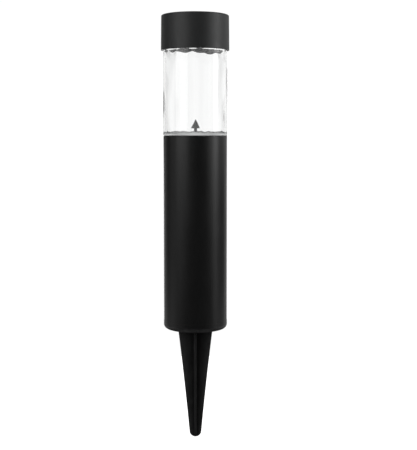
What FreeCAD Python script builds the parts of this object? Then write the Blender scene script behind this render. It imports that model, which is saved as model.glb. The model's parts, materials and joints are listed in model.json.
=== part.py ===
"""Solar garden light: ground stake, tube post, clear cup lens and a lift-off solar head.

Millimetres, +Z up. The origin is the centre of the base's underside, which sits on the soil.
The front of the light faces -Y. The stake is below the origin, the head is at the top.
"""
import FreeCAD, Part
import math
import os
import Sketcher

DOC = FreeCAD.newDocument("solar_garden_light")
SHEET = DOC.addObject("Spreadsheet::Sheet", "Sizes")

DRIVING_SIZES = {
    # ground stake
    "stake_depth": 93.75,
    "stake_half_width": 14.6,
    "stake_tip_radius": 5.0,
    "stake_edge_curve": 3300,
    "blade_thickness": 2.2,
    "blade_straight": 0.4,
    "seat_radius": 14.4,
    "seat_height": 4.0,
    "seat_thickness": 2.4,
    "spigot_radius": 7.9,
    "spigot_length": 24.0,
    "spigot_wall": 1.8,
    "socket_spare": 2.0,
    # gaps
    "fit_gap": 0.1,
    "free_gap": 0.3,
    # base plug
    "recess_radius": 15.0,
    "base_radius": 26.65,
    "base_round": 3.6,
    "base_height": 7.0,
    "base_skin": 2.4,
    "plug_top": 22.0,
    "plug_wall": 1.8,
    "socket_wall": 2.2,
    "plug_rib": 1.6,
    "rib_top": 20.0,
    # tube
    "tube_radius": 26.5,
    "tube_wall": 1.5,
    "tube_top": 161.75,
    # lens
    "lens_radius": 26.9,
    "lens_wall": 1.7,
    "lens_floor": 3.0,
    "lens_floor_round": 1.3,
    "lens_top": 242.0,
    "lens_edge_round": 0.6,
    "neck_length": 12.0,
    "neck_wall": 1.6,
    # beam-spreading cone
    "cone_foot_radius": 6.2,
    "cone_foot": 0.8,
    "cone_post_radius": 1.3,
    "cone_post": 2.6,
    "cone_radius": 3.8,
    "cone_height": 7.2,
    "cone_tip_radius": 0.35,
    # seal ring
    "seal_thickness": 1.4,
    "seal_width": 1.3,
    "seal_inset": 0.2,
    # cap
    "cap_radius": 28.4,
    "cap_draft": 0.3,
    "cap_bottom": 232.35,
    "cap_top": 261.25,
    "cap_round": 0.9,
    "rim_round": 0.4,
    "cap_wall": 2.2,
    "inner_round": 1.5,
    "deck_thickness": 2.0,
    # solar panel in the deck
    "panel_side": 34.0,
    "panel_corner": 1.6,
    "panel_gap": 0.2,
    "pad_inset": 1.0,
    "cell_inset": 0.2,
    "panel_recess": 2.4,
    "recess_floor": 1.6,
    "recess_rim": 1.5,
    "pad_thickness": 0.5,
    "cell_thickness": 0.9,
    "window_thickness": 0.8,
    "wire_hole_radius": 2.2,
    "wire_hole_offset": 9.4,
    # inner housing
    "plate_bottom": 236.0,
    "plate_thickness": 1.6,
    "housing_radius": 24.9,
    "housing_wall": 1.4,
    "flange_thickness": 1.6,
    # screws and their bosses
    "boss_circle": 20.6,
    "boss_radius": 2.6,
    "screw_radius": 1.2,
    "thread_gap": 0.05,
    "screw_length": 9.0,
    "screw_head_radius": 2.3,
    "screw_head_height": 1.5,
    "cross_reach": 1.2,
    "cross_half_width": 0.25,
    "cross_depth": 0.8,
    # battery bay
    "battery_radius": 5.25,
    "battery_length": 30.0,
    "battery_offset": 10.2,
    "battery_shift": 1.1,
    "bay_gap": 0.35,
    "bay_wall": 1.2,
    "bay_half_length": 17.05,
    "nub_radius": 1.9,
    "nub_height": 0.7,
    "dish_radius": 2.5,
    "contact_thickness": 0.4,
    "contact_gap": 0.05,
    "contact_margin": 0.8,
    "tab_half_width": 1.6,
    "tab_root": 0.6,
    "tab_height": 1.4,
    "spring_wire": 0.25,
    "spring_radius": 2.8,
    "spring_turns": 3,
    # battery cover
    "cover_thickness": 1.2,
    "barrel_radius": 1.3,
    "peg_radius": 0.7,
    "notch_half_width": 4.0,
    "groove_pitch": 1.2,
    "groove_width": 0.5,
    "groove_depth": 0.35,
    # circuit board and what it carries
    "board_half_width": 11.0,
    "board_front": 19.0,
    "board_back": 3.0,
    "board_bottom": 241.8,
    "board_thickness": 1.2,
    "post_radius": 1.5,
    "post_inset": 2.0,
    "post_setback": 4.8,
    "led_radius": 2.5,
    "led_flange_radius": 2.9,
    "led_flange": 1.0,
    "led_length": 8.4,
    "chip_length": 4.9,
    "chip_width": 3.9,
    "chip_offset": 4.0,
    "chip_height": 1.7,
    "inductor_radius": 1.6,
    "inductor_length": 7.0,
    "inductor_setback": 3.0,
    "wire_radius": 0.55,
    # slide switch
    "switch_offset": 13.5,
    "switch_half_length": 4.3,
    "switch_half_width": 2.2,
    "knob_half_length": 1.0,
    "knob_half_width": 0.9,
    "knob_travel": 2.5,
    "knob_reach": 1.1,
    "knob_root": 2.0,
}


class Size:
    """A length that carries its number and the sheet expression that gives it."""

    def __init__(self, number, text):
        self.number = number
        self.text = text

    def _joined(self, other, sign, number):
        other_text = other.text if isinstance(other, Size) else repr(float(other))
        return Size(number, f"({self.text} {sign} {other_text})")

    def __add__(self, other):
        return self._joined(other, "+", self.number + number_of(other))

    def __sub__(self, other):
        return self._joined(other, "-", self.number - number_of(other))

    def __mul__(self, factor):
        return self._joined(factor, "*", self.number * number_of(factor))

    def __neg__(self):
        return Size(-self.number, f"(0 - {self.text})")


def number_of(value):
    return value.number if isinstance(value, Size) else float(value)


class Sizes:
    """The driving dimensions, each one a Size named after its alias in the sheet."""

    def __init__(self, values):
        for row, (alias, value) in enumerate(values.items(), start=1):
            SHEET.set(f"A{row}", alias)
            SHEET.set(f"B{row}", str(value))
            SHEET.setAlias(f"B{row}", alias)
            setattr(self, alias, Size(float(value), f"Sizes.{alias}"))
        SHEET.recompute()


S = Sizes(DRIVING_SIZES)
ZERO = S.fit_gap * 0
TUBE_INNER = S.tube_radius - S.tube_wall
PLUG_RADIUS = TUBE_INNER - S.fit_gap
SOCKET_RADIUS = S.spigot_radius + S.fit_gap
SOCKET_TOP = S.seat_height + S.spigot_length + S.socket_spare
LENS_INNER = S.lens_radius - S.lens_wall
FLOOR_TOP = S.tube_top + S.lens_floor
SEAL_TOP = S.lens_top + S.seal_thickness
SHOULDER = SEAL_TOP + S.flange_thickness
SKIRT_INNER = S.lens_radius + S.fit_gap
CAP_INNER = S.cap_radius - S.cap_wall
DECK_UNDER = S.cap_top - S.deck_thickness
RECESS_TOP = S.cap_top - S.panel_recess
PLATE_TOP = S.plate_bottom + S.plate_thickness
BATTERY_HEIGHT = PLATE_TOP + S.battery_radius + S.bay_gap
BAY_HALF_WIDTH = S.battery_radius + S.bay_gap
BAY_TOP = BATTERY_HEIGHT + S.battery_radius + S.bay_gap + S.bay_wall
HINGE_Y = S.battery_offset + BAY_HALF_WIDTH - S.free_gap - S.barrel_radius
HINGE_Z = S.plate_bottom + S.barrel_radius
CONTACT_OUTER = S.bay_half_length - S.contact_gap
CONTACT_INNER = CONTACT_OUTER - S.contact_thickness
BOARD_TOP = S.board_bottom + S.board_thickness
SCREW_SPOTS_DEG = (90, 198, 342)
MERGE = 0.5  # how far a piece runs into the one it is fused to
CLEAR = 1.0  # how far a cutting tool runs past the face that it cuts
HEAD_RIM_EDGE = 3  # a cylinder's lower rim among its edges
HEAD_RIM_ROUND = 0.6


def bind(thing, name, size):
    """Sets a property to a size and ties it to the sheet."""
    thing.setExpression(name, size.text)


def place(thing, x=ZERO, y=ZERO, z=ZERO):
    """Puts an object's origin at a point whose coordinates come from the sheet."""
    for axis, size in (("x", x), ("y", y), ("z", z)):
        if size is not ZERO:
            bind(thing, f"Placement.Base.{axis}", size)


def turned(thing, axis, degrees):
    thing.Placement = FreeCAD.Placement(
        thing.Placement.Base, FreeCAD.Rotation(FreeCAD.Vector(*axis), degrees)
    )


# ---- Part primitives and booleans ----


def cylinder(name, radius, height, x=ZERO, y=ZERO, z=ZERO):
    solid = DOC.addObject("Part::Cylinder", name)
    bind(solid, "Radius", radius)
    bind(solid, "Height", height)
    place(solid, x, y, z)
    return solid


def box(name, low, high):
    """A box between two corners, each a triple of sizes."""
    solid = DOC.addObject("Part::Box", name)
    for side, start, end in zip(("Length", "Width", "Height"), low, high):
        bind(solid, side, end - start)
    place(solid, *low)
    return solid


def fused(name, pieces):
    whole = DOC.addObject("Part::MultiFuse", name)
    whole.Shapes = pieces
    whole.Refine = True
    return whole


def cut(name, base, tools):
    """The base with every tool taken out of it."""
    tool = tools[0] if len(tools) == 1 else fused(name + "_tools", tools)
    left = DOC.addObject("Part::Cut", name)
    left.Base = base
    left.Tool = tool
    left.Refine = True
    return left


# ---- PartDesign bodies and sketches ----


def new_body(name):
    return DOC.addObject("PartDesign::Body", name)


def sketch_on(body, plane_role, name):
    """A new sketch on one of the body's own origin planes."""
    sketch = body.newObject("Sketcher::SketchObject", name)
    plane = next(item for item in body.Origin.OriginFeatures if item.Role == plane_role)
    sketch.AttachmentSupport = [(plane, "")]
    sketch.MapMode = "FlatFace"
    return sketch


def arc_between(start, end, radius):
    """The short arc from start to end. A positive radius bulges to the right of the way travelled."""
    chord = end - start
    reach = math.sqrt(max(radius * radius - (chord.Length / 2) ** 2, 0.0))
    left = FreeCAD.Vector(-chord.y, chord.x, 0).normalize()
    centre = (start + end) * 0.5 + left * (reach if radius > 0 else -reach)
    first, last = (start, end) if radius > 0 else (end, start)
    angles = [math.atan2(p.y - centre.y, p.x - centre.x) for p in (first, last)]
    if angles[1] < angles[0]:
        angles[1] += 2 * math.pi
    circle = Part.Circle(centre, FreeCAD.Vector(0, 0, 1), abs(radius))
    return Part.ArcOfCircle(circle, *angles)


def outline(sketch, corners):
    """Draws a closed outline. A corner is (x, y), or (x, y, radius) where an arc leads to the next."""
    points = [FreeCAD.Vector(number_of(c[0]), number_of(c[1]), 0) for c in corners]
    starts, ends = [], []
    for index, corner in enumerate(corners):
        start, end = points[index], points[(index + 1) % len(points)]
        if len(corner) == 2:
            edge = sketch.addGeometry(Part.LineSegment(start, end), False)
            starts.append((edge, 1))
            ends.append((edge, 2))
            continue
        radius = number_of(corner[2])
        edge = sketch.addGeometry(arc_between(start, end, radius), False)
        starts.append((edge, 1 if radius > 0 else 2))
        ends.append((edge, 2 if radius > 0 else 1))
        bound = corner[2] if radius > 0 else -corner[2]
        constraint = sketch.addConstraint(Sketcher.Constraint("Radius", edge, abs(radius)))
        sketch.setExpression(f"Constraints[{constraint}]", bound.text)
    for index, corner in enumerate(corners):
        sketch.addConstraint(Sketcher.Constraint("Coincident", *ends[index - 1], *starts[index]))
        fix_point(sketch, starts[index], corner, points[index])


def fix_point(sketch, vertex, corner, point):
    """Holds a corner at its sizes, measured from the sketch's origin."""
    for kind, size, number, axis in (
        ("DistanceX", corner[0], point.x, -2),
        ("DistanceY", corner[1], point.y, -1),
    ):
        if abs(number) < 1e-9:
            sketch.addConstraint(Sketcher.Constraint("PointOnObject", *vertex, axis))
            continue
        constraint = sketch.addConstraint(Sketcher.Constraint(kind, -1, 1, *vertex, number))
        sketch.setExpression(f"Constraints[{constraint}]", size.text)


def revolved(body, name, corners):
    """Turns an outline of (radius, height) corners a full turn about Z."""
    sketch = sketch_on(body, "XZ_Plane", name + "_outline")
    outline(sketch, corners)
    turn = body.newObject("PartDesign::Revolution", name)
    turn.Profile = sketch
    turn.ReferenceAxis = (sketch, ["V_Axis"])
    turn.Angle = 360
    return turn


def revolved_body(name, corners):
    body = new_body(name)
    revolved(body, name + "_turned", corners)
    return body


def padded_up(body, name, corners, bottom, height):
    """Pads a plan outline from one height upwards."""
    sketch = sketch_on(body, "XY_Plane", name + "_plan")
    bind(sketch, "AttachmentOffset.Base.z", bottom)
    outline(sketch, corners)
    pad = body.newObject("PartDesign::Pad", name)
    pad.Profile = sketch
    bind(pad, "Length", height)
    return pad


def rounded_square(half, corner):
    """Corners of a square about the axis, with its four corners rounded."""
    near = half - corner
    return [
        (near, -half, corner),
        (half, -near),
        (half, near, corner),
        (near, half),
        (-near, half, corner),
        (-half, near),
        (-half, -near, corner),
        (-near, -half),
    ]


def rectangle(low_x, low_y, high_x, high_y):
    return [(low_x, low_y), (high_x, low_y), (high_x, high_y), (low_x, high_y)]


def polar(body, feature, count, name):
    """Repeats a feature evenly about Z."""
    pattern = body.newObject("PartDesign::PolarPattern", name)
    pattern.Originals = [feature]
    axis = next(item for item in body.Origin.OriginFeatures if item.Role == "Z_Axis")
    pattern.Axis = (axis, [""])
    pattern.Angle = 360
    pattern.Occurrences = count
    body.Tip = pattern
    return pattern


# ---- Ground stake ----


def stake():
    """Two crossed tapering blades under a round seat, with a hollow spigot on top."""
    body = new_body("stake")
    sketch = sketch_on(body, "XZ_Plane", "blade_outline")
    tip_centre = S.stake_tip_radius - S.stake_depth
    seat_bottom = S.seat_height - S.seat_thickness
    outline(sketch, [
        (S.stake_half_width, seat_bottom),
        (-S.stake_half_width, seat_bottom),
        (-S.stake_half_width, -S.blade_straight, -S.stake_edge_curve),
        (-S.stake_tip_radius, tip_centre, S.stake_tip_radius),
        (ZERO, -S.stake_depth, S.stake_tip_radius),
        (S.stake_tip_radius, tip_centre, -S.stake_edge_curve),
        (S.stake_half_width, -S.blade_straight),
    ])
    blade = body.newObject("PartDesign::Pad", "blade")
    blade.Profile = sketch
    bind(blade, "Length", S.blade_thickness)
    blade.Midplane = True
    polar(body, blade, 4, "crossed_blades")
    spigot_top = S.seat_height + S.spigot_length
    bore = S.spigot_radius - S.spigot_wall
    revolved(body, "seat_and_spigot", [
        (ZERO, seat_bottom),
        (S.seat_radius, seat_bottom),
        (S.seat_radius, S.seat_height),
        (S.spigot_radius, S.seat_height),
        (S.spigot_radius, spigot_top),
        (bore, spigot_top),
        (bore, S.seat_height),
        (ZERO, S.seat_height),
    ])
    return body


# ---- Post: base plug and tube ----


def base_plug():
    """The foot of the post: a rounded flange, a plug for the tube and a socket for the spigot."""
    body = new_body("base_plug")
    inner = PLUG_RADIUS - S.plug_wall
    socket_outer = SOCKET_RADIUS + S.socket_wall
    recess_outer = S.recess_radius + S.plug_wall
    web_top = S.seat_height + S.base_skin
    revolved(body, "flange_and_socket", [
        (S.recess_radius, ZERO),
        (S.base_radius - S.base_round, ZERO, S.base_round),
        (S.base_radius, S.base_round),
        (S.base_radius, S.base_height),
        (PLUG_RADIUS, S.base_height),
        (PLUG_RADIUS, S.plug_top),
        (inner, S.plug_top),
        (inner, S.base_skin),
        (recess_outer, S.base_skin),
        (recess_outer, web_top),
        (socket_outer, web_top),
        (socket_outer, SOCKET_TOP),
        (SOCKET_RADIUS, SOCKET_TOP),
        (SOCKET_RADIUS, S.seat_height),
        (S.recess_radius, S.seat_height),
    ])
    half = S.plug_rib * 0.5
    rib_bottom = web_top - MERGE
    rib = padded_up(
        body,
        "rib",
        rectangle(socket_outer - MERGE, -half, inner + MERGE, half),
        rib_bottom,
        S.rib_top - rib_bottom,
    )
    polar(body, rib, 6, "ribs")
    return body


def body_tube():
    """The plain round tube of the post."""
    return revolved_body("body_tube", [
        (TUBE_INNER, S.base_height),
        (S.tube_radius, S.base_height),
        (S.tube_radius, S.tube_top),
        (TUBE_INNER, S.tube_top),
    ])


# ---- Lens ----


def lens():
    """The clear cup. Its neck plugs into the tube and its shoulder rests on the tube's rim."""
    neck_outer = TUBE_INNER - S.fit_gap
    neck_inner = neck_outer - S.neck_wall
    neck_bottom = S.tube_top - S.neck_length
    edge = S.lens_edge_round
    return revolved_body("lens", [
        (ZERO, S.tube_top),
        (neck_inner, S.tube_top),
        (neck_inner, neck_bottom),
        (neck_outer, neck_bottom),
        (neck_outer, S.tube_top),
        (S.lens_radius - edge, S.tube_top, edge),
        (S.lens_radius, S.tube_top + edge),
        (S.lens_radius, S.lens_top),
        (LENS_INNER, S.lens_top),
        (LENS_INNER, FLOOR_TOP + S.lens_floor_round, -S.lens_floor_round),
        (LENS_INNER - S.lens_floor_round, FLOOR_TOP),
        (ZERO, FLOOR_TOP),
    ])


def light_cone():
    """The cone that spreads the lamp's beam sideways, on a short post and a thin round foot."""
    foot_top = FLOOR_TOP + S.cone_foot
    cone_bottom = foot_top + S.cone_post
    apex = cone_bottom + S.cone_height
    return revolved_body("light_cone", [
        (ZERO, FLOOR_TOP),
        (S.cone_foot_radius, FLOOR_TOP),
        (S.cone_foot_radius, foot_top),
        (S.cone_post_radius, foot_top),
        (S.cone_post_radius, cone_bottom),
        (S.cone_radius, cone_bottom),
        (S.cone_tip_radius, apex - S.cone_tip_radius, S.cone_tip_radius),
        (ZERO, apex),
    ])


def seal_ring():
    """The flat rubber ring between the lens rim and the head."""
    outer = S.lens_radius - S.seal_inset
    return revolved_body("seal_ring", [
        (outer - S.seal_width, S.lens_top),
        (outer, S.lens_top),
        (outer, SEAL_TOP),
        (outer - S.seal_width, SEAL_TOP),
    ])


# ---- Head: cap and solar panel ----


def screw_spots():
    """The screw places as pairs of sizes, on the boss circle."""
    for degrees in SCREW_SPOTS_DEG:
        angle = math.radians(degrees)
        yield S.boss_circle * math.cos(angle), S.boss_circle * math.sin(angle)


def head_cap():
    """The round cap: a skirt over the lens rim, a deck with the panel's recess, three bosses."""
    body = new_body("cap_shell")
    top_radius = S.cap_radius - S.cap_draft
    revolved(body, "cap_turned", [
        (ZERO, DECK_UNDER),
        (CAP_INNER - S.inner_round, DECK_UNDER, -S.inner_round),
        (CAP_INNER, DECK_UNDER - S.inner_round),
        (CAP_INNER, SHOULDER),
        (SKIRT_INNER, SHOULDER),
        (SKIRT_INNER, S.cap_bottom),
        (S.cap_radius - S.rim_round, S.cap_bottom, S.rim_round),
        (S.cap_radius, S.cap_bottom + S.rim_round),
        (top_radius, S.cap_top - S.cap_round, S.cap_round),
        (top_radius - S.cap_round, S.cap_top),
        (ZERO, S.cap_top),
    ])
    half = S.panel_side * 0.5 + S.panel_gap
    floor_bottom = RECESS_TOP - S.recess_floor
    padded_up(
        body,
        "recess_tray",
        rounded_square(half + S.recess_rim, S.panel_corner + S.recess_rim),
        floor_bottom,
        DECK_UNDER - floor_bottom + MERGE,
    )
    shell_and_bosses = fused("cap_with_bosses", [body] + [
        cylinder(f"boss_{n}", S.boss_radius, DECK_UNDER - PLATE_TOP + MERGE, x, y, PLATE_TOP)
        for n, (x, y) in enumerate(screw_spots())
    ])
    recess = new_body("recess")
    padded_up(
        recess,
        "recess_block",
        rounded_square(half, S.panel_corner + S.panel_gap),
        RECESS_TOP,
        S.panel_recess + CLEAR,
    )
    wire_hole = cylinder(
        "panel_wire_hole", S.wire_hole_radius, S.recess_floor + 2 * CLEAR,
        ZERO, -S.wire_hole_offset, floor_bottom - CLEAR,
    )
    pilots = [
        cylinder(f"pilot_{n}", S.screw_radius + S.thread_gap, S.screw_length, x, y, PLATE_TOP - MERGE)
        for n, (x, y) in enumerate(screw_spots())
    ]
    return cut("head_cap", shell_and_bosses, [recess, wire_hole] + pilots)


def panel_layer(name, inset, bottom, thickness):
    """One square sheet of the solar panel."""
    body = new_body(name)
    half = S.panel_side * 0.5 - inset
    padded_up(body, name + "_sheet", rounded_square(half, S.panel_corner - inset), bottom, thickness)
    return body


def panel_pad():
    """The foam tape that holds the panel in its recess, with a hole for the panel's wires."""
    sheet = panel_layer("pad_sheet", S.pad_inset, RECESS_TOP, S.pad_thickness)
    hole = cylinder(
        "pad_hole", S.wire_hole_radius, S.pad_thickness + 2 * CLEAR,
        ZERO, -S.wire_hole_offset, RECESS_TOP - CLEAR,
    )
    return cut("panel_pad", sheet, [hole])


def solar_cell():
    """The silicon cell on its backing board."""
    return panel_layer("solar_cell", S.cell_inset, RECESS_TOP + S.pad_thickness, S.cell_thickness)


def panel_window():
    """The clear sheet over the cell, a little below the deck."""
    bottom = RECESS_TOP + S.pad_thickness + S.cell_thickness
    return panel_layer("panel_window", ZERO, bottom, S.window_thickness)


# ---- Head: inner housing, battery bay and screws ----


def bay_block(name, grow, bottom, top):
    """A block about the battery's middle, larger than the bay's inside by grow."""
    reach = S.bay_half_length + grow
    side = BAY_HALF_WIDTH + grow
    low = (-reach, S.battery_offset - side, bottom)
    return box(name, low, (reach, S.battery_offset + side, top))


def inner_housing():
    """The plate and rim that close the head from below, with the battery bay moulded on top."""
    rim_inner = S.housing_radius - S.housing_wall
    shell = revolved_body("housing_shell", [
        (ZERO, S.plate_bottom),
        (S.housing_radius, S.plate_bottom),
        (S.housing_radius, SEAL_TOP),
        (SKIRT_INNER - S.free_gap, SEAL_TOP),
        (SKIRT_INNER - S.free_gap, SHOULDER),
        (rim_inner, SHOULDER),
        (rim_inner, PLATE_TOP),
        (ZERO, PLATE_TOP),
    ])
    bay = bay_block("bay_outside", S.bay_wall, PLATE_TOP - MERGE, BAY_TOP)
    posts = [
        cylinder(
            f"board_post_{n}", S.post_radius, S.board_bottom - PLATE_TOP + MERGE,
            (S.board_half_width - S.post_inset) * side, S.post_setback - S.board_front,
            PLATE_TOP - MERGE,
        )
        for n, side in enumerate((-1, 1))
    ]
    solid = fused("housing_solid", [shell, bay] + posts)
    through = S.plate_thickness + 2 * CLEAR
    below = S.plate_bottom - CLEAR
    tools = [
        bay_block("bay_inside", ZERO, below, BAY_TOP - S.bay_wall),
        cylinder("led_hole", S.led_radius + S.free_gap, through, z=below),
    ]
    slot_reach = S.knob_half_length + S.knob_travel * 0.5 + S.free_gap
    slot_side = S.knob_half_width + S.free_gap
    tools.append(box(
        "knob_slot",
        (-slot_reach, -S.switch_offset - slot_side, below),
        (slot_reach, -S.switch_offset + slot_side, PLATE_TOP + CLEAR),
    ))
    tools += [
        cylinder(f"screw_hole_{n}", S.screw_radius + S.free_gap, through, x, y, below)
        for n, (x, y) in enumerate(screw_spots())
    ]
    wall_middle = S.bay_half_length + S.bay_wall * 0.5
    for n, side in enumerate((-1, 1)):
        hole = cylinder(
            f"peg_hole_{n}", S.peg_radius + S.fit_gap, S.bay_wall + 2 * MERGE,
            wall_middle * side - (S.bay_wall * 0.5 + MERGE), HINGE_Y, HINGE_Z,
        )
        turned(hole, (0, 1, 0), 90)
        tools.append(hole)
        tools.append(tab_slot(f"tab_slot_{n}", side, S.fit_gap))
    return cut("inner_housing", solid, tools)


def tab_slot(name, side, grow):
    """The block that a contact's solder tab fills, or with grow its slot in the bay's roof."""
    ends = sorted(((CONTACT_OUTER + grow * 0.5) * side, (CONTACT_INNER - grow) * side), key=number_of)
    half = S.tab_half_width + grow
    return box(
        name,
        (ends[0], S.battery_offset - half, BAY_TOP - S.bay_wall - S.tab_root),
        (ends[1], S.battery_offset + half, BAY_TOP + S.tab_height),
    )


def housing_screws():
    """Three pan-head screws, driven up through the plate into the cap's bosses."""
    screws = []
    for n, (x, y) in enumerate(screw_spots()):
        head = cylinder(f"screw_head_{n}", S.screw_head_radius, S.screw_head_height,
                        x, y, S.plate_bottom - S.screw_head_height)
        rounded = DOC.addObject("Part::Fillet", f"screw_head_round_{n}")
        rounded.Base = head
        rounded.Edges = [(HEAD_RIM_EDGE, HEAD_RIM_ROUND, HEAD_RIM_ROUND)]
        shank = cylinder(f"screw_shank_{n}", S.screw_radius, S.screw_length - MERGE,
                         x, y, S.plate_bottom - MERGE)
        head_bottom = S.plate_bottom - S.screw_head_height
        arms = ((S.cross_reach, S.cross_half_width), (S.cross_half_width, S.cross_reach))
        blades = [
            box(f"screw_cross_{n}_{turn}",
                (x - long, y - wide, head_bottom - CLEAR),
                (x + long, y + wide, head_bottom + S.cross_depth))
            for turn, (long, wide) in enumerate(arms)
        ]
        screws.append(cut(f"screw_{n}", fused(f"screw_blank_{n}", [rounded, shank]), blades))
    group = DOC.addObject("Part::Compound", "housing_screws")
    group.Links = screws
    return group


# ---- Head: battery, contacts and cover ----


def battery_cell():
    """A short rechargeable cell lying across the head, its nub towards +X."""
    can = cylinder("battery_can", S.battery_radius, S.battery_length - S.nub_height,
                   S.battery_shift - S.battery_length * 0.5, S.battery_offset, BATTERY_HEIGHT)
    nub = cylinder("battery_nub", S.nub_radius, S.nub_height + MERGE,
                   S.battery_shift + S.battery_length * 0.5 - S.nub_height - MERGE,
                   S.battery_offset, BATTERY_HEIGHT)
    for piece in (can, nub):
        turned(piece, (0, 1, 0), 90)
    return fused("battery_cell", [can, nub])


def contact_plate(name, side):
    """A flat spring-steel plate at one end of the bay, with its solder tab through the roof."""
    ends = sorted((CONTACT_OUTER * side, CONTACT_INNER * side), key=number_of)
    half = BAY_HALF_WIDTH - S.contact_margin
    plate = box(
        name + "_plate",
        (ends[0], S.battery_offset - half, BATTERY_HEIGHT - S.battery_radius + S.contact_margin),
        (ends[1], S.battery_offset + half, BAY_TOP - S.bay_wall - S.fit_gap),
    )
    return fused(name, [plate, tab_slot(name + "_tab", side, ZERO)])


def spring_contact():
    """The negative contact: its plate and a short coil spring that presses on the cell."""
    plate = contact_plate("spring_plate", -1)
    plate_face = S.spring_wire - CONTACT_INNER
    reach = S.battery_shift - S.battery_length * 0.5 - S.spring_wire - plate_face
    coil = DOC.addObject("Part::Helix", "spring_path")
    bind(coil, "Radius", S.spring_radius)
    bind(coil, "Height", reach)
    coil.setExpression("Pitch", f"{reach.text} / Sizes.spring_turns")
    place(coil, plate_face, S.battery_offset, BATTERY_HEIGHT)
    turned(coil, (0, 1, 0), 90)
    section = DOC.addObject("Part::Circle", "spring_section")
    bind(section, "Radius", S.spring_wire)
    place(section, plate_face, S.battery_offset, BATTERY_HEIGHT - S.spring_radius)
    turned(section, (1, 0, 0), 90)
    wire = DOC.addObject("Part::Sweep", "spring_coil")
    wire.Sections = [section]
    wire.Spine = (coil, ["Edge1"])
    wire.Solid = True
    wire.Frenet = True
    group = DOC.addObject("Part::Compound", "spring_contact")
    group.Links = [plate, wire]
    return group


def plate_contact():
    """The positive contact, which touches the cell's nub through its dished middle."""
    plate = contact_plate("positive_plate", 1)
    nub_end = S.battery_shift + S.battery_length * 0.5
    dish = cylinder("positive_dish", S.dish_radius, CONTACT_OUTER - nub_end,
                    nub_end, S.battery_offset, BATTERY_HEIGHT)
    turned(dish, (0, 1, 0), 90)
    return fused("plate_contact", [plate, dish])


def battery_cover():
    """The door under the battery: a plate on a round barrel with a peg at each end."""
    half = S.bay_half_length - S.free_gap
    front = S.battery_offset - BAY_HALF_WIDTH + S.free_gap
    plate = box("cover_plate", (-half, front, S.plate_bottom),
                (half, HINGE_Y, S.plate_bottom + S.cover_thickness))
    peg_reach = S.bay_half_length + S.bay_wall - S.free_gap
    barrel = cylinder("cover_barrel", S.barrel_radius, half * 2, -half, HINGE_Y, HINGE_Z)
    pegs = cylinder("cover_pegs", S.peg_radius, peg_reach * 2, -peg_reach, HINGE_Y, HINGE_Z)
    for piece in (barrel, pegs):
        turned(piece, (0, 1, 0), 90)
    solid = fused("cover_solid", [plate, barrel, pegs])
    below = S.plate_bottom - CLEAR
    notch = box("finger_notch", (-S.notch_half_width, front - CLEAR, below),
                (S.notch_half_width, front + S.groove_pitch, S.plate_bottom + S.cover_thickness * 0.5))
    grooves = []
    for n in range(3):
        groove_y = front + S.groove_pitch * (n + 2)
        grooves.append(box(
            f"grip_groove_{n}",
            (-S.notch_half_width, groove_y, below),
            (S.notch_half_width, groove_y + S.groove_width, S.plate_bottom + S.groove_depth),
        ))
    return cut("battery_cover", solid, [notch] + grooves)


# ---- Head: circuit board, lamp, switch and wires ----


def circuit_board():
    """The small driver board above the switch and the lamp."""
    return box("circuit_board", (-S.board_half_width, -S.board_front, S.board_bottom),
               (S.board_half_width, S.board_back, BOARD_TOP))


def driver_chip():
    """The driver chip on the board."""
    half_length = S.chip_length * 0.5
    half_width = S.chip_width * 0.5
    return box("driver_chip", (-half_length, -S.chip_offset - half_width, BOARD_TOP),
               (half_length, half_width - S.chip_offset, BOARD_TOP + S.chip_height))


def inductor():
    """The axial inductor that lies beside the chip."""
    coil = cylinder("inductor", S.inductor_radius, S.inductor_length,
                    -S.inductor_length * 0.5, S.inductor_setback - S.board_front,
                    BOARD_TOP + S.inductor_radius)
    turned(coil, (0, 1, 0), 90)
    return coil


def led():
    """The round-nosed lamp under the board, pointing down at the cone."""
    base = S.board_bottom
    flange_low = base - S.led_flange
    dome_start = base - S.led_length + S.led_radius
    return revolved_body("led", [
        (ZERO, base),
        (S.led_flange_radius, base),
        (S.led_flange_radius, flange_low),
        (S.led_radius, flange_low),
        (S.led_radius, dome_start, -S.led_radius),
        (ZERO, base - S.led_length),
    ])


def knob_box(name, grow, bottom, top, middle):
    reach = S.knob_half_length + grow
    side = S.knob_half_width + S.free_gap if grow.number else S.knob_half_width
    return box(name, (middle - reach, -S.switch_offset - side, bottom),
               (middle + reach, -S.switch_offset + side, top))


def switch_body():
    """The slide switch's case, open below where its knob runs."""
    case = box("switch_case",
               (-S.switch_half_length, -S.switch_offset - S.switch_half_width, PLATE_TOP),
               (S.switch_half_length, -S.switch_offset + S.switch_half_width, S.board_bottom))
    track = knob_box("switch_track", S.knob_travel * 0.5 + S.free_gap, PLATE_TOP - CLEAR,
                     PLATE_TOP + S.knob_root + S.free_gap, ZERO)
    return cut("switch_body", case, [track])


def switch_knob():
    """The sliding knob, shown at its off end."""
    return knob_box("switch_knob", ZERO, S.plate_bottom - S.knob_reach, PLATE_TOP + S.knob_root,
                    S.knob_travel * -0.5)


def wire_path(points):
    """Straight runs joined by tangent arcs, each as large as its two runs allow."""
    edges = []
    start = points[0]
    for before, corner, after in zip(points, points[1:], points[2:]):
        incoming = (before - corner).normalize()
        outgoing = (after - corner).normalize()
        turn = math.pi - incoming.getAngle(outgoing)
        setback = 0.45 * min((before - corner).Length, (after - corner).Length)
        radius = setback / math.tan(turn / 2)
        first = corner + incoming * setback
        last = corner + outgoing * setback
        bisector = (incoming + outgoing).normalize()
        middle = corner + bisector * (math.hypot(radius, setback) - radius)
        edges.append(Part.LineSegment(start, first).toShape())
        edges.append(Part.Arc(first, middle, last).toShape())
        start = last
    edges.append(Part.LineSegment(start, points[-1]).toShape())
    return Part.Wire(edges)


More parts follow.
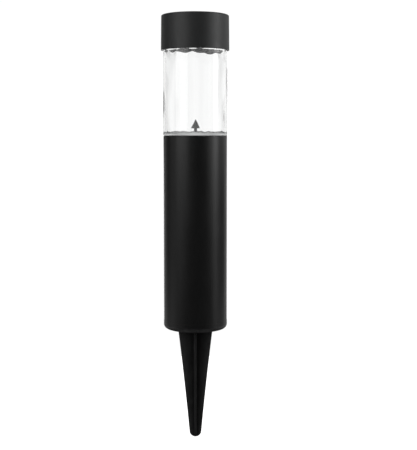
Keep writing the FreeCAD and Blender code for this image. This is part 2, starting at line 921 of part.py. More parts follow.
def wire(name, points):
    """An insulated wire swept along its path, from the first point to the last."""
    path = wire_path([FreeCAD.Vector(*point) for point in points])
    start = path.Edges[0].valueAt(path.Edges[0].FirstParameter)
    heading = path.Edges[0].tangentAt(path.Edges[0].FirstParameter)
    circle = Part.Circle(start, heading, S.wire_radius.number)
    solid = path.makePipeShell([Part.Wire(circle.toShape())], True, True)
    lead = DOC.addObject("Part::Feature", name)
    lead.Shape = solid
    return lead


def panel_wires():
    """Two leads from the panel's back, down through the deck, to the board."""
    top = (RECESS_TOP + S.pad_thickness).number
    board = BOARD_TOP.number
    hole_y = -S.wire_hole_offset.number
    front = -S.board_front.number
    for name, side in (("panel_wire_red", 1), ("panel_wire_black", -1)):
        yield wire(name, [
            (side * 0.9, hole_y, top),
            (side * 0.9, hole_y, top - 6),
            (side * 6.5, hole_y - 1.5, top - 10.5),
            (side * 8.6, front + 7.5, board + 5),
            (side * 8.6, front + 7.5, board),
        ])


def battery_wires():
    """Two leads from the contacts' tabs over the bay's roof to the board."""
    tab_x = CONTACT_INNER.number - S.wire_radius.number
    tab_y = S.battery_offset.number - 1.5
    roof = BAY_TOP.number + 0.75
    board = BOARD_TOP.number
    for name, side in (("battery_wire_red", 1), ("battery_wire_black", -1)):
        yield wire(name, [
            (side * tab_x, tab_y, roof),
            (side * tab_x, tab_y - 5, roof + 0.4),
            (side * (tab_x - 2.5), tab_y - 9.4, roof - 1),
            (side * 9.0, 0.2, board + 4),
            (side * 9.0, 0.2, board),
        ])


# ---- Checks and files ----


def check_objects():
    """Stops on any object that failed to compute."""
    for item in DOC.Objects:
        for flag in ("Invalid", "Error"):
            if flag in item.State:
                raise RuntimeError(f"{item.Name} is {item.State}")


def write_parts(parts):
    os.makedirs("parts", exist_ok=True)
    for part in parts:
        shape = part.Shape
        if shape.isNull() or not shape.isValid() or not shape.Solids:
            raise RuntimeError(f"{part.Name} has no valid solid")
        part.Label = part.Name
        low, high = shape.BoundBox.ZMin, shape.BoundBox.ZMax
        print(f"{part.Name:20s} {shape.Volume:10.1f} mm3, z {low:7.2f} to {high:7.2f}")
        shape.exportStep(f"parts/{part.Name}.step")


def main():
    parts = [
        stake(), base_plug(), body_tube(),
        lens(), light_cone(), seal_ring(),
        head_cap(), panel_pad(), solar_cell(), panel_window(),
        inner_housing(), housing_screws(),
        battery_cell(), spring_contact(), plate_contact(), battery_cover(),
        circuit_board(), driver_chip(), inductor(), led(),
        switch_body(), switch_knob(),
        *panel_wires(), *battery_wires(),
    ]
    DOC.recompute()
    check_objects()
    write_parts(parts)


main()
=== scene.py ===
"""Solar garden light: looks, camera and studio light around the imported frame. Metres, +Z up."""
import json
import math

import bmesh
import bpy
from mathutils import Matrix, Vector, noise


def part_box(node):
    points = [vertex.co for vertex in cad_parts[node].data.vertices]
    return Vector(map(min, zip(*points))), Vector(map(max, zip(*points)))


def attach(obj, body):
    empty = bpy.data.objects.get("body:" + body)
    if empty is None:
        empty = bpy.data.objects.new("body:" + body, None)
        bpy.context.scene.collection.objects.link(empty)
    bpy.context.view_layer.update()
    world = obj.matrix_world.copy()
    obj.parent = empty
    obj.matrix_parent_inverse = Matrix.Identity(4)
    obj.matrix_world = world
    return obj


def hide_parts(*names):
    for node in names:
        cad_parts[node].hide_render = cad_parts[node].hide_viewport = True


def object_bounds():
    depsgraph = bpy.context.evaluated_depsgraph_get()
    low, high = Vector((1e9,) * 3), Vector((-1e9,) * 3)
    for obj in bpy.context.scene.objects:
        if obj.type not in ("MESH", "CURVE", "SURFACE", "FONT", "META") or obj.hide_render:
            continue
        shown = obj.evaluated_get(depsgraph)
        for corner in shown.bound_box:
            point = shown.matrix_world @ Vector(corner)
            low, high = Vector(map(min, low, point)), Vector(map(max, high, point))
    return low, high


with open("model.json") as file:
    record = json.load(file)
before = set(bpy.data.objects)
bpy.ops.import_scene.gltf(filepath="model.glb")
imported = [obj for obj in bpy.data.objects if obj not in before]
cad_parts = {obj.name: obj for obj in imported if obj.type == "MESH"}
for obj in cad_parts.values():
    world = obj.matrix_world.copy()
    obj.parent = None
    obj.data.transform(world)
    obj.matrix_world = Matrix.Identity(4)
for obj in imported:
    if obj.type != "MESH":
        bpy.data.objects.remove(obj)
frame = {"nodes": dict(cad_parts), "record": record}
cad_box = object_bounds()

MM = 0.001
TAU = 2 * math.pi


# ---- Node helpers ----


def new_material(name):
    """A node material with one Principled shader: (material, tree, shader)."""
    material = bpy.data.materials.new(name)
    material.use_nodes = True
    tree = material.node_tree
    tree.nodes.clear()
    output = tree.nodes.new("ShaderNodeOutputMaterial")
    shader = tree.nodes.new("ShaderNodeBsdfPrincipled")
    tree.links.new(shader.outputs["BSDF"], output.inputs["Surface"])
    return material, tree, shader


def place_coords(tree, stretch=(1, 1, 1)):
    """Object coordinates, multiplied by a number along each axis."""
    coords = tree.nodes.new("ShaderNodeTexCoord")
    mapping = tree.nodes.new("ShaderNodeMapping")
    mapping.inputs["Scale"].default_value = stretch
    tree.links.new(coords.outputs["Object"], mapping.inputs["Vector"])
    return mapping.outputs["Vector"]


def noise_field(tree, coords, scale, detail):
    """Soft noise, mostly between 0.3 and 0.7. The scale is per metre."""
    field = tree.nodes.new("ShaderNodeTexNoise")
    field.inputs["Scale"].default_value = scale
    field.inputs["Detail"].default_value = detail
    field.inputs["Roughness"].default_value = 0.55
    tree.links.new(coords, field.inputs["Vector"])
    return field.outputs["Fac"]


def remap(tree, value, low, high, start=0.3, end=0.7):
    """Maps a field from start..end to low..high, and holds it there past the ends."""
    node = tree.nodes.new("ShaderNodeMapRange")
    node.inputs["From Min"].default_value = start
    node.inputs["From Max"].default_value = end
    node.inputs["To Min"].default_value = low
    node.inputs["To Max"].default_value = high
    tree.links.new(value, node.inputs["Value"])
    return node.outputs["Result"]


def mixed(tree, factor, first, second):
    """A colour between two, each a plain colour or another node's."""
    node = tree.nodes.new("ShaderNodeMix")
    node.data_type = "RGBA"
    for socket, colour in (("A", first), ("B", second)):
        if isinstance(colour, tuple):
            node.inputs[socket].default_value = (*colour, 1)
        else:
            tree.links.new(colour, node.inputs[socket])
    tree.links.new(factor, node.inputs["Factor"])
    return node.outputs["Result"]


def worked(tree, operation, first, second=None):
    """A math node on a field and, where it takes two, a number or another field."""
    node = tree.nodes.new("ShaderNodeMath")
    node.operation = operation
    tree.links.new(first, node.inputs[0])
    if isinstance(second, (int, float)):
        node.inputs[1].default_value = second
    elif second is not None:
        tree.links.new(second, node.inputs[1])
    return node.outputs["Value"]


def axes(tree, coords):
    """The X, Y and Z parts of a coordinate field."""
    split = tree.nodes.new("ShaderNodeSeparateXYZ")
    tree.links.new(coords, split.inputs["Vector"])
    return [split.outputs[axis] for axis in "XYZ"]


def bumped(tree, shader, height, distance, strength, under=None):
    """Adds a bump, its distance in metres, on top of another bump where there is one."""
    node = tree.nodes.new("ShaderNodeBump")
    node.inputs["Distance"].default_value = distance
    node.inputs["Strength"].default_value = strength
    tree.links.new(height, node.inputs["Height"])
    if under is not None:
        tree.links.new(under, node.inputs["Normal"])
    tree.links.new(node.outputs["Normal"], shader.inputs["Normal"])
    return node.outputs["Normal"]


def stripe_mask(tree, coords, axis, period, width, offset=0.0):
    """1 on thin stripes across an axis, 0 between them. Sizes are in metres."""
    place = worked(tree, "ADD", axes(tree, coords)["XYZ".index(axis)], offset)
    wave = worked(tree, "PINGPONG", worked(tree, "DIVIDE", place, period), 0.5)
    return worked(tree, "LESS_THAN", wave, 0.5 * width / period)


# ---- Materials ----


# How far a plastic's colour drifts to each side of its plain colour.
COLOUR_DRIFT = 0.2

# Painted light: the post's foot is painted paler up to this height, with a ragged upper edge.
FOOT_PAINTED_LIGHT_HEIGHT = 4 * MM
FOOT_PAINTED_LIGHT_RAGGED = 0.5 * MM

# The stake's blades: half their width at the top, what a metre of height adds to it, and how much
# the reach of the front and back blades counts towards the painted light on their edges.
BLADE_HALF_WIDTH = 14.6 * MM
BLADE_TAPER = 0.108
FRONT_BLADE_SHARE = 0.62

# Clear plastic takes away a little of the light that passes through it. The density is per metre.
HAZE_COLOUR = (0.5, 0.515, 0.512, 1)
HAZE_DENSITY = 28


def plastic(name, colour, rough=(0.3, 0.38), grain=0.006, stretch=(1, 1, 1)):
    """Moulded plastic: slight colour drift, uneven satin and a fine grain, its depth in mm."""
    material, tree, shader = new_material(name)
    coords = place_coords(tree, stretch)
    drift = noise_field(tree, coords, scale=38, detail=4)
    pale = tuple(c * (1 + COLOUR_DRIFT) for c in colour)
    deep = tuple(c * (1 - COLOUR_DRIFT) for c in colour)
    tree.links.new(mixed(tree, drift, deep, pale), shader.inputs["Base Color"])
    patches = noise_field(tree, coords, scale=110, detail=5)
    tree.links.new(remap(tree, patches, *rough), shader.inputs["Roughness"])
    flow = noise_field(tree, coords, scale=60, detail=2)
    flow_marks = bumped(tree, shader, flow, distance=0.05 * MM, strength=0.35)
    pits = noise_field(tree, coords, scale=2600, detail=2)
    bumped(tree, shader, pits, distance=grain * MM, strength=1.0, under=flow_marks)
    shader.inputs["IOR"].default_value = 1.5
    return material


def add_painted_light(material, painted_light_mask, painted_light_colour):
    """Mixes a paler colour into the material's colour by a mask from 0 to 1: painted light."""
    tree = material.node_tree
    base_colour = tree.nodes["Principled BSDF"].inputs["Base Color"]
    plain = base_colour.links[0].from_socket
    tree.links.new(mixed(tree, painted_light_mask, plain, painted_light_colour), base_colour)


def tube_plastic(name, colour, painted_light_colour):
    """Moulded plastic, painted paler towards the foot's lower edge, which is at height 0: painted
    light from below.
    """
    material = plastic(name, colour, stretch=(1, 1, 0.35))
    tree = material.node_tree
    height = axes(tree, place_coords(tree))[2]
    ragged_noise = noise_field(tree, place_coords(tree), scale=300, detail=3)
    ragged = remap(tree, ragged_noise, -FOOT_PAINTED_LIGHT_RAGGED, FOOT_PAINTED_LIGHT_RAGGED)
    # Painted light: the paler colour fades out over this height above the foot's lower edge.
    painted_light_mask = remap(tree, worked(tree, "ADD", height, ragged), 1, 0, start=0, end=FOOT_PAINTED_LIGHT_HEIGHT)
    add_painted_light(material, painted_light_mask, painted_light_colour)
    return material


def stake_plastic(name, colour, painted_light_colour):
    """Moulded plastic, painted paler towards the edges of the tapering blades and left dark near
    the middle: painted light on the edges and painted shade in the corners between the blades.
    """
    material = plastic(name, colour, rough=(0.34, 0.44))
    tree = material.node_tree
    x, y, z = axes(tree, place_coords(tree))
    # Painted light and shade: paler towards each blade's outer edge, darker in the corners
    # between the blades.
    forward = worked(tree, "MULTIPLY", worked(tree, "ABSOLUTE", y), FRONT_BLADE_SHARE)
    reach = worked(tree, "MAXIMUM", worked(tree, "ABSOLUTE", x), forward)
    half_width = worked(tree, "ADD", worked(tree, "MULTIPLY", z, BLADE_TAPER), BLADE_HALF_WIDTH)
    share = worked(tree, "DIVIDE", reach, half_width)
    ragged_noise = noise_field(tree, place_coords(tree, (1, 1, 0.2)), scale=420, detail=4)
    ragged_share = worked(tree, "ADD", share, remap(tree, ragged_noise, -0.12, 0.12))
    add_painted_light(material, remap(tree, ragged_share, 0, 1, start=0.25, end=1), painted_light_colour)
    return material


def clear_plastic(name, tint=(0.996, 0.998, 0.997), ior=1.49, rough=0.0):
    """Clear moulded plastic with faint flow marks."""
    material, tree, shader = new_material(name)
    coords = place_coords(tree, (1, 1, 0.5))
    drift = noise_field(tree, coords, scale=30, detail=2)
    deep = tuple(c - 0.006 for c in tint)
    tree.links.new(mixed(tree, drift, deep, tint), shader.inputs["Base Color"])
    flow = noise_field(tree, coords, scale=90, detail=1)
    bumped(tree, shader, flow, distance=0.02 * MM, strength=0.25)
    shader.inputs["Transmission Weight"].default_value = 1.0
    shader.inputs["IOR"].default_value = ior
    shader.inputs["Roughness"].default_value = rough
    haze = tree.nodes.new("ShaderNodeVolumeAbsorption")
    haze.inputs["Color"].default_value = HAZE_COLOUR
    haze.inputs["Density"].default_value = HAZE_DENSITY
    tree.links.new(haze.outputs["Volume"], tree.nodes["Material Output"].inputs["Volume"])
    return material


def metal(name, colour, rough=(0.2, 0.35)):
    """Plated metal with fine unevenness."""
    material, tree, shader = new_material(name)
    drift = noise_field(tree, place_coords(tree), scale=700, detail=3)
    pale = tuple(min(1.0, c * 1.08) for c in colour)
    deep = tuple(c * 0.86 for c in colour)
    tree.links.new(mixed(tree, drift, deep, pale), shader.inputs["Base Color"])
    tree.links.new(remap(tree, drift, *rough), shader.inputs["Roughness"])
    bumped(tree, shader, drift, distance=0.01 * MM, strength=0.5)
    shader.inputs["Metallic"].default_value = 1.0
    return material


def rubber(name, colour):
    """Matte rubber or foam with fine pores."""
    material, tree, shader = new_material(name)
    pores = noise_field(tree, place_coords(tree), scale=1800, detail=4)
    pale = tuple(c * 1.3 for c in colour)
    tree.links.new(mixed(tree, pores, colour, pale), shader.inputs["Base Color"])
    tree.links.new(remap(tree, pores, 0.62, 0.85), shader.inputs["Roughness"])
    bumped(tree, shader, pores, distance=0.03 * MM, strength=0.8)
    return material


def window_plastic(name):
    """A thin clear sheet: mostly see-through, with its own gloss."""
    material, tree, shader = new_material(name)
    drift = noise_field(tree, place_coords(tree), scale=60, detail=2)
    greys = mixed(tree, drift, (0.5, 0.53, 0.56), (0.56, 0.58, 0.6))
    tree.links.new(greys, shader.inputs["Base Color"])
    tree.links.new(remap(tree, drift, 0.03, 0.07), shader.inputs["Roughness"])
    bumped(tree, shader, drift, distance=0.02 * MM, strength=0.3)
    shader.inputs["Alpha"].default_value = 0.16
    shader.inputs["Specular IOR Level"].default_value = 1.0
    return material


def silicon(name):
    """Dark blue silicon with silver fingers and bus lines, under a clear gloss."""
    material, tree, shader = new_material(name)
    coords = place_coords(tree)
    crystals = tree.nodes.new("ShaderNodeTexVoronoi")
    crystals.inputs["Scale"].default_value = 260
    tree.links.new(coords, crystals.inputs["Vector"])
    blue = mixed(tree, crystals.outputs["Distance"], (0.008, 0.014, 0.055), (0.02, 0.034, 0.12))
    fingers = stripe_mask(tree, coords, "X", period=2.1 * MM, width=0.12 * MM)
    buses = stripe_mask(tree, coords, "Y", period=8.4 * MM, width=0.7 * MM, offset=4.2 * MM)
    lines = worked(tree, "MAXIMUM", fingers, buses)
    tree.links.new(mixed(tree, lines, blue, (0.62, 0.63, 0.64)), shader.inputs["Base Color"])
    tree.links.new(remap(tree, lines, 0.22, 0.4, start=0, end=1), shader.inputs["Roughness"])
    bumped(tree, shader, lines, distance=0.03 * MM, strength=0.6)
    shader.inputs["Coat Weight"].default_value = 1.0
    shader.inputs["Coat Roughness"].default_value = 0.06
    return material


def circuit_laminate(name):
    """Green solder mask with paler tracks under it."""
    material, tree, shader = new_material(name)
    coords = place_coords(tree)
    across = stripe_mask(tree, coords, "X", period=3.3 * MM, width=0.5 * MM)
    along = stripe_mask(tree, coords, "Y", period=4.7 * MM, width=0.5 * MM)
    tracks = worked(tree, "MAXIMUM", across, along)
    green = mixed(tree, tracks, (0.012, 0.1, 0.03), (0.03, 0.2, 0.065))
    tree.links.new(green, shader.inputs["Base Color"])
    weave = noise_field(tree, coords, scale=1500, detail=2)
    tree.links.new(remap(tree, weave, 0.25, 0.4), shader.inputs["Roughness"])
    bumped(tree, shader, tracks, distance=0.03 * MM, strength=0.7)
    return material


TUBE_BLACK = (0.0105, 0.0108, 0.011)
# The paler colour painted on the post's foot: painted light.
TUBE_FOOT_PAINTED_LIGHT = (0.13, 0.13, 0.132)
CAP_BLACK = (0.034, 0.0355, 0.0358)
STAKE_BLACK = (0.009, 0.009, 0.0093)
# The paler colour painted on the stake's blade edges: painted light.
STAKE_EDGE_PAINTED_LIGHT = (0.075, 0.075, 0.076)
INNER_BLACK = (0.012, 0.012, 0.013)

MATERIALS = {
    "tube_plastic": tube_plastic("tube_plastic", TUBE_BLACK, TUBE_FOOT_PAINTED_LIGHT),
    "cap_plastic": plastic("cap_plastic", CAP_BLACK, (0.4, 0.48)),
    "stake_plastic": stake_plastic("stake_plastic", STAKE_BLACK, STAKE_EDGE_PAINTED_LIGHT),
    "inner_plastic": plastic("inner_plastic", INNER_BLACK, (0.4, 0.52), grain=0.012),
    "clear_plastic": clear_plastic("clear_plastic"),
    "cone_plastic": plastic("cone_plastic", INNER_BLACK, (0.1, 0.16), grain=0.002),
    "seal_rubber": rubber("seal_rubber", (0.03, 0.03, 0.031)),
    "foam_tape": rubber("foam_tape", (0.05, 0.05, 0.05)),
    "silicon": silicon("silicon"),
    "window_plastic": window_plastic("window_plastic"),
    "screw_steel": metal("screw_steel", (0.52, 0.51, 0.48)),
    "contact_steel": metal("contact_steel", (0.68, 0.66, 0.6), (0.12, 0.22)),
    "battery_wrap": plastic("battery_wrap", (0.03, 0.2, 0.07), (0.16, 0.24), grain=0.002),
    "board_laminate": circuit_laminate("board_laminate"),
    "chip_resin": plastic("chip_resin", (0.016, 0.016, 0.017), (0.45, 0.6), grain=0.01),
    "inductor_coat": plastic("inductor_coat", (0.08, 0.3, 0.2), (0.2, 0.3), grain=0.004),
    "lamp_resin": clear_plastic("lamp_resin", (0.96, 0.96, 0.93), ior=1.52, rough=0.05),
    "switch_case": metal("switch_case", (0.6, 0.6, 0.57), (0.25, 0.4)),
    "knob_plastic": plastic("knob_plastic", (0.02, 0.02, 0.02), (0.35, 0.45), grain=0.008),
    "wire_red": plastic("wire_red", (0.45, 0.015, 0.012), (0.3, 0.42), grain=0.004),
    "wire_black": plastic("wire_black", (0.014, 0.014, 0.014), (0.3, 0.42), grain=0.004),
}


def dress(piece, slot):
    """Gives a piece one material by its slot's name."""
    piece.data.materials.clear()
    piece.data.materials.append(MATERIALS[slot])


for part in frame["record"]["subparts"]:
    dress(frame["nodes"][part["node"]], part["material_slot"])


# ---- Mesh helpers ----


# Edges that turn by more than this are drawn sharp.
SHARP_EDGE = math.radians(35)


def mesh_object(name, points, faces):
    """A new object in the scene, smooth apart from its sharp edges."""
    mesh = bpy.data.meshes.new(name)
    mesh.from_pydata(points, [], faces)
    mesh.validate()
    bm = bmesh.new()
    bm.from_mesh(mesh)
    bmesh.ops.recalc_face_normals(bm, faces=bm.faces)
    bm.to_mesh(mesh)
    bm.free()
    for polygon in mesh.polygons:
        polygon.use_smooth = True
    mesh.set_sharp_from_angle(angle=SHARP_EDGE)
    piece = bpy.data.objects.new(name, mesh)
    bpy.context.scene.collection.objects.link(piece)
    return piece


def turned_piece(name, rows, steps):
    """A closed solid of revolution. A row is a height and a radius, each a number or a function
    of the angle. First and last rows of radius 0 become poles; with none, the outline closes on
    itself.
    """
    points, rings = [], []
    for height, radius in rows:
        if radius == 0:
            rings.append([len(points)])
            points.append((0, 0, height))
            continue
        ring = []
        for step in range(steps):
            angle = TAU * step / steps
            reach = radius(angle) if callable(radius) else radius
            level = height(angle) if callable(height) else height
            ring.append(len(points))
            points.append((reach * math.cos(angle), reach * math.sin(angle), level))
        rings.append(ring)
    faces = []
    closed = len(rings[0]) > 1
    pairs = list(zip(rings, rings[1:])) + ([(rings[-1], rings[0])] if closed else [])
    for lower, upper in pairs:
        for step in range(steps):
            after = (step + 1) % steps
            if len(lower) == 1:
                faces.append((lower[0], upper[step], upper[after]))
            elif len(upper) == 1:
                faces.append((lower[step], upper[0], lower[after]))
            else:
                faces.append((lower[step], upper[step], upper[after], lower[after]))
    return mesh_object(name, points, faces)


def rounded(corners, arc_steps=5):
    """Rows of an outline whose corners are (radius, height, round radius)."""
    rows = []
    count = len(corners)
    for index, (radius, height, curve) in enumerate(corners):
        here = Vector((radius, height))
        if curve == 0:
            rows.append((height, radius))
            continue
        before = Vector(corners[index - 1][:2])
        after = Vector(corners[(index + 1) % count][:2])
        first = (before - here).normalized()
        last = (after - here).normalized()
        half = first.angle(last) / 2
        reach = curve / math.tan(half)
        centre = here + (first + last).normalized() * (curve / math.sin(half))
        start = here + first * reach - centre
        end = here + last * reach - centre
        turn = start.angle_signed(end)
        for step in range(arc_steps + 1):
            angle = -turn * step / arc_steps
            spoke = Vector((
                start.x * math.cos(angle) - start.y * math.sin(angle),
                start.x * math.sin(angle) + start.y * math.cos(angle),
            ))
            rows.append((centre.y + spoke.y, centre.x + spoke.x))
    return rows


# ---- Lens ----


# The waves of the moulded inside: how fast they vary round the wall and up it (per metre), their
# place in the noise, and their depth.
SWELLS = {"around": 2.81, "up": 34.0, "seed": 21.86, "rise": 11.06, "depth": 0.41 * MM}
LIP_WAVES = {"around": 3.5, "up": 80.4, "seed": 35.07, "rise": 9.09, "depth": 0.84 * MM}
FLOOR_WAVES = {"around": 12, "up": 0, "seed": 21.4, "rise": 5.2, "depth": 0.9 * MM}

# Where the waves run. The lip is the level of the cap's lower edge. All waves are gone at
# CALM_ABOVE_LIP and at their full strength CALM_FADE below that.
CALM_ABOVE_LIP = 3.4 * MM
CALM_FADE = 3 * MM
LIP_WAVE_REACH = 12 * MM
FLOOR_WAVE_REACH = 5 * MM
LOW_SWELL = 0.5  # the swells' share at the floor
SWELL_CLIMB = 40 * MM  # their share grows by 1 in this height
CALM_MIDDLE = 0.4  # the floor is flat within this share of its radius

# A shallow groove round the inside of the wall, just above the lip.
GROOVE_DEPTH = 0.18 * MM
GROOVE_ABOVE_LIP = 0.2 * MM
GROOVE_HALF_WIDTH = 1.1 * MM

# The cup's sizes.
WALL = 1.7 * MM
FLOOR_THICKNESS = 3.0 * MM
FLOOR_FILLET = 0.7 * MM
FILLET_STEPS = 10
NECK_INSET = 1.6 * MM  # from the tube's outside to the neck's
NECK_WALL = 1.6 * MM
SHOULDER_ROUND = 0.6 * MM
RIM_CHAMFER = 0.3 * MM
OUTSIDE_BANDS = 12
CUP_STEPS = 288


def wave(kind, angle, height):
    """How far a kind of wave moves the surface here."""
    place = Vector((math.cos(angle), math.sin(angle), 0)) * kind["around"]
    place += Vector((kind["seed"], 0, kind["rise"] + height * kind["up"]))
    return kind["depth"] * noise.noise(place)


def wavy_wall(radius, height, swell, lip):
    """The inner wall's radius by angle, with shares of the swells and the lip waves."""
    return lambda angle: (
        radius - swell * wave(SWELLS, angle, height) - lip * wave(LIP_WAVES, angle, height)
    )


def wavy_floor(height, share):
    """The floor's height by angle, with a share of its waves."""
    return lambda angle: height + share * wave(FLOOR_WAVES, angle, 0)


def fading(distance, reach):
    """1 at no distance, falling to 0 at the reach."""
    return max(0.0, 1 - distance / reach)


def steps_between(first, last, pitch):
    """Evenly spaced values from first up to, and without, last."""
    count = max(1, round(abs(last - first) / pitch))
    return [first + (last - first) * step / count for step in range(count)]


def outside_rows(low, outer, rim, shoulder):
    """The cup's underside, neck and smooth outside, from the middle of the floor to the rim."""
    neck_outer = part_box("body_tube")[1].x - NECK_INSET
    neck_inner = neck_outer - NECK_WALL
    rows = [
        (shoulder, 0),
        (shoulder, neck_inner),
        (low, neck_inner),
        (low, neck_outer),
        (shoulder, neck_outer),
    ]
    rows += rounded([
        (neck_outer, shoulder, 0),
        (outer, shoulder, SHOULDER_ROUND),
        (outer, rim, 0),
    ])[1:-1]
    bands = range(OUTSIDE_BANDS - 1, 0, -1)
    rows += [(rim - (rim - shoulder) * band / OUTSIDE_BANDS, outer) for band in bands]
    return rows + [(rim - RIM_CHAMFER, outer), (rim, outer - RIM_CHAMFER)]


def wall_rows(inner, rim, lip, wall_low):
    """The rippled inside of the wall, from the rim down, in finer rows near the lip."""
    fine_high, fine_low = lip + 3 * MM, lip - 8 * MM
    heights = steps_between(rim - 0.2 * MM, fine_high, 1 * MM)
    heights += steps_between(fine_high, fine_low, 0.25 * MM)
    heights += steps_between(fine_low, wall_low, 0.75 * MM) + [wall_low]
    rows = [(rim, inner)]
    for height in heights:
        calm = min(1.0, max(0.0, (lip + CALM_ABOVE_LIP - height) / CALM_FADE))
        swell_share = calm * min(1.0, LOW_SWELL + (height - wall_low) / SWELL_CLIMB)
        lip_share = fading(abs(lip - height), LIP_WAVE_REACH) * calm
        groove = GROOVE_DEPTH * fading(abs(height - lip - GROOVE_ABOVE_LIP), GROOVE_HALF_WIDTH)
        floor_share = fading(height - wall_low, FLOOR_WAVE_REACH)
        wall = wavy_wall(inner + groove, height, swell_share, lip_share)
        rows.append((wavy_floor(height, floor_share), wall))
    return rows


def floor_rows(inner, floor, wall_low):
    """The fillet at the foot of the wall and the wavy floor, as far as its middle."""
    rows = []
    for step in range(1, FILLET_STEPS + 1):
        sweep = math.pi / 2 * step / FILLET_STEPS
        height = floor + FLOOR_FILLET * (1 - math.sin(sweep))
        inset = FLOOR_FILLET * (1 - math.cos(sweep))
        wall = wavy_wall(inner - inset, wall_low, LOW_SWELL * (1 - step / FILLET_STEPS), 0)
        rows.append((wavy_floor(height, 1), wall))
    for share in (0.75, 0.5, 0.25):
        radius = inner * (CALM_MIDDLE + (1 - CALM_MIDDLE) * share)
        rows.append((wavy_floor(floor, share), radius))
    return rows + [(floor, inner * CALM_MIDDLE), (floor, 0)]


def lens_cup():
    """The lens: a real wall with a smooth outside and a rippled inside, and a thick floor."""
    low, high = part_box("lens")
    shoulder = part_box("body_tube")[1].z
    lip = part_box("head_cap")[0].z
    outer, rim = high.x, high.z
    inner = outer - WALL
    floor = shoulder + FLOOR_THICKNESS
    wall_low = floor + FLOOR_FILLET
    rows = outside_rows(low.z, outer, rim, shoulder)
    rows += wall_rows(inner, rim, lip, wall_low)
    rows += floor_rows(inner, floor, wall_low)
    cup = turned_piece("lens_cup", rows, CUP_STEPS)
    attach(cup, "lens")
    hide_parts("lens")
    dress(cup, "clear_plastic")


lens_cup()


# ---- Studio ----


# Soft boxes in a ring about the light. Each has its angle from the camera's side, in degrees to
# the right, its width, its lowest and highest height, and its brightness.
SOFT_BOX_RING = 1.0
SOFT_BOXES = {
    "left_main": (-48, 0.85, 0.12, 0.9, 1.42),
    "left_side": (-88, 0.36, 0.12, 0.9, 0.3),
    "front_fill": (-10, 0.36, 0.12, 0.9, 0.22),
    "right_main": (78, 0.36, 0.12, 0.9, 3.35),
    "right_front": (58, 0.36, 0.12, 0.9, 0.97),
    "right_side": (111, 0.8, 0.12, 0.9, 0.52),
    "right_low": (78, 0.36, -0.4, 0.12, 0.43),
    "rear_right": (145, 0.36, -0.4, 0.9, 0.5),
    "left_low": (-75, 1.1, -0.4, 0.12, 0.17),
    "left_foot": (-105, 1.1, -0.5, -0.2, 0.42),
    "right_foot": (115, 0.9, -0.5, -0.2, 0.45),
    "rear": (180, 0.5, -0.3, 0.9, 1.6),
    "rear_left": (-140, 0.36, -0.4, 0.9, 0.3),
    "rear_left_low": (-165, 0.36, -0.4, 0.12, 1.3),
}

FLOOR_RADIUS = 0.3
PANELS = 8


def area_light(name, place, target, size, brightness):
    """A soft box that looks equally bright whatever its size."""
    lamp = bpy.data.lights.new(name, "AREA")
    lamp.shape = "RECTANGLE"
    lamp.size, lamp.size_y = size
    lamp.energy = brightness * math.pi * size[0] * size[1]
    holder = bpy.data.objects.new(name, lamp)
    holder.location = place
    holder.rotation_euler = (Vector(target) - Vector(place)).to_track_quat("-Z", "Y").to_euler()
    holder.visible_transmission = False
    bpy.context.scene.collection.objects.link(holder)


def soft_boxes():
    """The ring of soft boxes and one overhead."""
    for name, (degrees, width, bottom, top, brightness) in SOFT_BOXES.items():
        angle = math.radians(degrees)
        middle = (bottom + top) / 2
        place = (SOFT_BOX_RING * math.sin(angle), -SOFT_BOX_RING * math.cos(angle), middle)
        area_light(name, place, (0, 0, middle), (width, top - bottom), brightness)
    area_light("overhead", (0, 0, 1.2), (0, 0, 0), size=(0.8, 0.8), brightness=1.65)


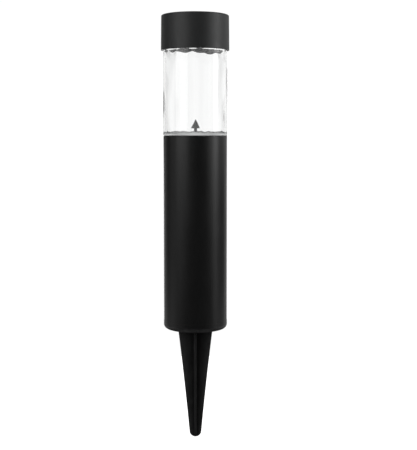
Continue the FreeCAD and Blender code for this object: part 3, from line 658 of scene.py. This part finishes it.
def floor_disc():
    """A plain pale floor at the stake's tip. It doesn't light the object or show in its gloss."""
    top = cad_box[0][2]
    bottom = top - 2 * MM
    rows = [(bottom, 0), (bottom, FLOOR_RADIUS), (top, FLOOR_RADIUS), (top, 0)]
    disc = turned_piece("floor_disc", rows, steps=128)
    for polygon in disc.data.polygons:
        polygon.use_smooth = False
    material, tree, shader = new_material("pale_floor")
    drift = noise_field(tree, place_coords(tree), scale=8, detail=2)
    pale = mixed(tree, drift, (0.88, 0.88, 0.88), (0.9, 0.9, 0.9))
    tree.links.new(pale, shader.inputs["Base Color"])
    shader.inputs["Roughness"].default_value = 0.8
    shader.inputs["Emission Color"].default_value = (1, 1, 1, 1)
    shader.inputs["Emission Strength"].default_value = 1.0
    disc.data.materials.append(material)
    disc.visible_diffuse = False
    disc.visible_glossy = False


def white_panels(tree, panel, gap):
    """A ring of soft white panels with greyer gaps: its brightness by direction."""
    coords = tree.nodes.new("ShaderNodeTexCoord")
    across, away = axes(tree, coords.outputs["Generated"])[:2]
    turn = worked(tree, "MULTIPLY", worked(tree, "ARCTAN2", across, away), PANELS / 2)
    swing = worked(tree, "ABSOLUTE", worked(tree, "SINE", turn))
    return remap(tree, swing, panel, gap, start=0.3, end=1)


def pale_world(seen, panel, gap, felt):
    """A white surround: plain to the eye, panels through clear plastic, and dim on the rest."""
    world = bpy.data.worlds.new("studio")
    bpy.context.scene.world = world
    world.use_nodes = True
    tree = world.node_tree
    background = tree.nodes["Background"]
    path = tree.nodes.new("ShaderNodeLightPath")
    clear = worked(
        tree, "MAXIMUM", path.outputs["Is Transmission Ray"], path.outputs["Is Singular Ray"]
    )
    through = worked(tree, "MULTIPLY", clear, white_panels(tree, panel, gap))
    direct = worked(tree, "MULTIPLY", path.outputs["Is Camera Ray"], seen)
    level = worked(tree, "MAXIMUM", worked(tree, "MAXIMUM", direct, through), felt)
    tree.links.new(level, background.inputs["Strength"])
    background.inputs["Color"].default_value = (1, 1, 1, 1)


def camera():
    """The camera in front, about level with the lens's floor and looking slightly down."""
    data = bpy.data.cameras.new("camera")
    data.lens = 76.23
    data.sensor_width = 36
    data.clip_start = 0.01
    data.shift_y = -0.0482
    holder = bpy.data.objects.new("camera", data)
    holder.location = (0.0111, -0.798, 0.1597)
    tilt = 90 - 3.9
    holder.rotation_euler = (math.radians(tilt), 0, 0)
    bpy.context.scene.collection.objects.link(holder)
    bpy.context.scene.camera = holder


floor_disc()
pale_world(seen=1.02, panel=1.02, gap=0.76, felt=0.0435)
soft_boxes()
camera()
bpy.context.scene.view_settings.view_transform = "Standard"
